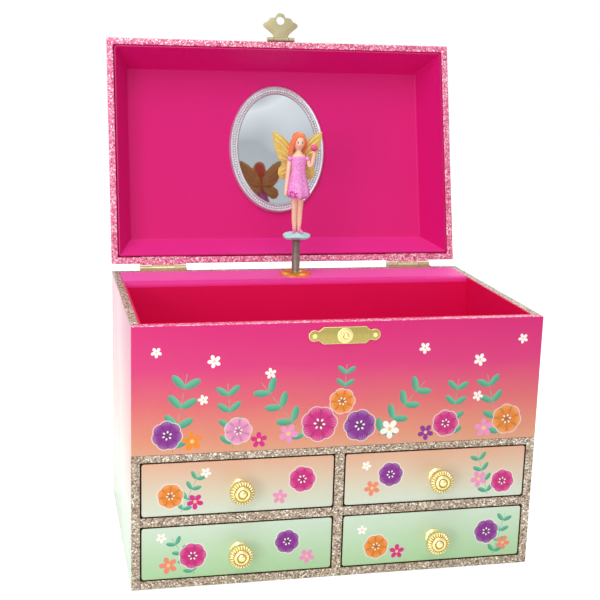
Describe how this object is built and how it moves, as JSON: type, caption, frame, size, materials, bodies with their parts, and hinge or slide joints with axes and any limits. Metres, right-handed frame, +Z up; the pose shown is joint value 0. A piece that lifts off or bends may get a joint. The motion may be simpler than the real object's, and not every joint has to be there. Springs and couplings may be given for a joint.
{
  "type": "musical jewellery box",
  "caption": "Hinged-lid musical jewellery box with drawers, a latch, an oval mirror in the lid, and a winged figurine on a coil stem that turns as the movement runs.",
  "frame": {"origin": "centre of the underside of the base, on the surface that the box stands on", "axes": "+Z up, -Y out of the drawer fronts, +X to the right as seen from the front"},
  "size_m": [0.24, 0.2395, 0.3252],
  "materials": {
    "printed_board": "gloss",
    "drawer_board": "gloss",
    "side_board": "gloss",
    "edge_board": "satin",
    "lid_board": "gloss",
    "lining_card": "matte",
    "tray_card": "matte",
    "ledge_board": "satin",
    "drawer_ply": "matte",
    "gilt": "polished",
    "steel": "satin",
    "mirror_glass": "polished",
    "silver_trim": "polished",
    "figure_plastic": "gloss",
    "wing_plastic": "gloss"
  },
  "bodies": {
    "case": {"base_board": "edge_board", "left_side_board": "side_board", "right_side_board": "side_board", "back_board": "side_board", "front_board": "printed_board", "tray_floor": "edge_board", "drawer_shelf": "edge_board", "drawer_dividers": "edge_board", "movement_partition": "drawer_ply", "ledge_board": "ledge_board", "tray_lining": "tray_card", "spindle_collar": "gilt", "keeper_plate": "gilt", "keeper_stud": "gilt", "hinge_case_leaves": "gilt", "hinge_pins": "steel", "case_nails": "gilt", "movement_bedplate": "steel", "movement_screws": "steel", "comb": "steel"},
    "lid": {"lid_front_board": "lid_board", "lid_back_board": "lid_board", "lid_left_board": "lid_board", "lid_right_board": "lid_board", "lid_top_board": "lid_board", "lid_lining": "lining_card", "mirror_frame": "silver_trim", "mirror_plate": "mirror_glass", "hinge_lid_leaves": "gilt", "hasp_plate": "gilt", "hasp_pin": "steel", "lid_nails": "gilt"},
    "hasp": {"hasp_tongue": "gilt"},
    "spindle_body": {"spindle": "steel", "pinned_cylinder": "gilt"},
    "barrel": {"spring_barrel": "gilt", "mainspring": "steel"},
    "key": {"winding_arbor": "steel", "winding_key": "gilt"},
    "governor_body": {"governor": "gilt"},
    "stem": {"stem_spring": "steel"},
    "figure": {"figurine": "figure_plastic", "figurine_wings": "wing_plastic"},
    "upper_left_drawer": {"upper_left_drawer_front": "drawer_board", "upper_left_drawer_tray": "drawer_ply", "upper_left_knob": "gilt", "upper_left_knob_screw": "steel"},
    "upper_right_drawer": {"upper_right_drawer_front": "drawer_board", "upper_right_drawer_tray": "drawer_ply", "upper_right_knob": "gilt", "upper_right_knob_screw": "steel"},
    "lower_left_drawer": {"lower_left_drawer_front": "drawer_board", "lower_left_drawer_tray": "drawer_ply", "lower_left_knob": "gilt", "lower_left_knob_screw": "steel"},
    "lower_right_drawer": {"lower_right_drawer_front": "drawer_board", "lower_right_drawer_tray": "drawer_ply", "lower_right_knob": "gilt", "lower_right_knob_screw": "steel"}
  },
  "joints": [
    {"name": "lid_hinge", "type": "hinge", "parent": "case", "child": "lid", "pos_m": [0, 0.0792, 0.1556], "axis": [1, 0, 0], "range_deg": [0, 104.4]},
    {"name": "hasp_swing", "type": "hinge", "parent": "lid", "child": "hasp", "pos_m": [0, 0.12288, 0.30706], "axis": [1, 0, 0], "range_deg": [-60, 90]},
    {"name": "spindle_spin", "type": "hinge", "parent": "case", "child": "spindle_body", "pos_m": [0, 0.056, 0.12], "axis": [0, 0, 1], "continuous": true},
    {"name": "barrel_spin", "type": "hinge", "parent": "case", "child": "barrel", "pos_m": [0, 0.0626, 0.127], "axis": [0, 1, 0], "continuous": true},
    {"name": "governor_spin", "type": "hinge", "parent": "case", "child": "governor_body", "pos_m": [0.015, 0.056, 0.09], "axis": [0, 0, 1], "continuous": true},
    {"name": "key_wind", "type": "hinge", "parent": "case", "child": "key", "pos_m": [0, 0.079, 0.127], "axis": [0, 1, 0], "continuous": true},
    {"name": "figure_fold", "type": "hinge", "parent": "case", "child": "stem", "pos_m": [0, 0.056, 0.1665], "axis": [1, 0, 0], "range_deg": [0, 90.1], "deforming": ["stem_spring"]},
    {"name": "figure_spin", "type": "hinge", "parent": "stem", "child": "figure", "pos_m": [0, 0.056, 0.1786], "axis": [0, 0, 1], "continuous": true},
    {"name": "upper_left_slide", "type": "slide", "parent": "case", "child": "upper_left_drawer", "axis": [0, -1, 0], "range_m": [0, 0.1]},
    {"name": "upper_right_slide", "type": "slide", "parent": "case", "child": "upper_right_drawer", "axis": [0, -1, 0], "range_m": [0, 0.1]},
    {"name": "lower_left_slide", "type": "slide", "parent": "case", "child": "lower_left_drawer", "axis": [0, -1, 0], "range_m": [0, 0.1]},
    {"name": "lower_right_slide", "type": "slide", "parent": "case", "child": "lower_right_drawer", "axis": [0, -1, 0], "range_m": [0, 0.1]}
  ],
  "couplings": [
    {"joint": "barrel_spin", "follows": "spindle_spin", "ratio": -0.41667},
    {"joint": "governor_spin", "follows": "spindle_spin", "ratio": -4},
    {"joint": "figure_spin", "follows": "spindle_spin", "ratio": 1},
    {"joint": "figure_fold", "follows": "lid_hinge", "ratio": 0.862}
  ]
}
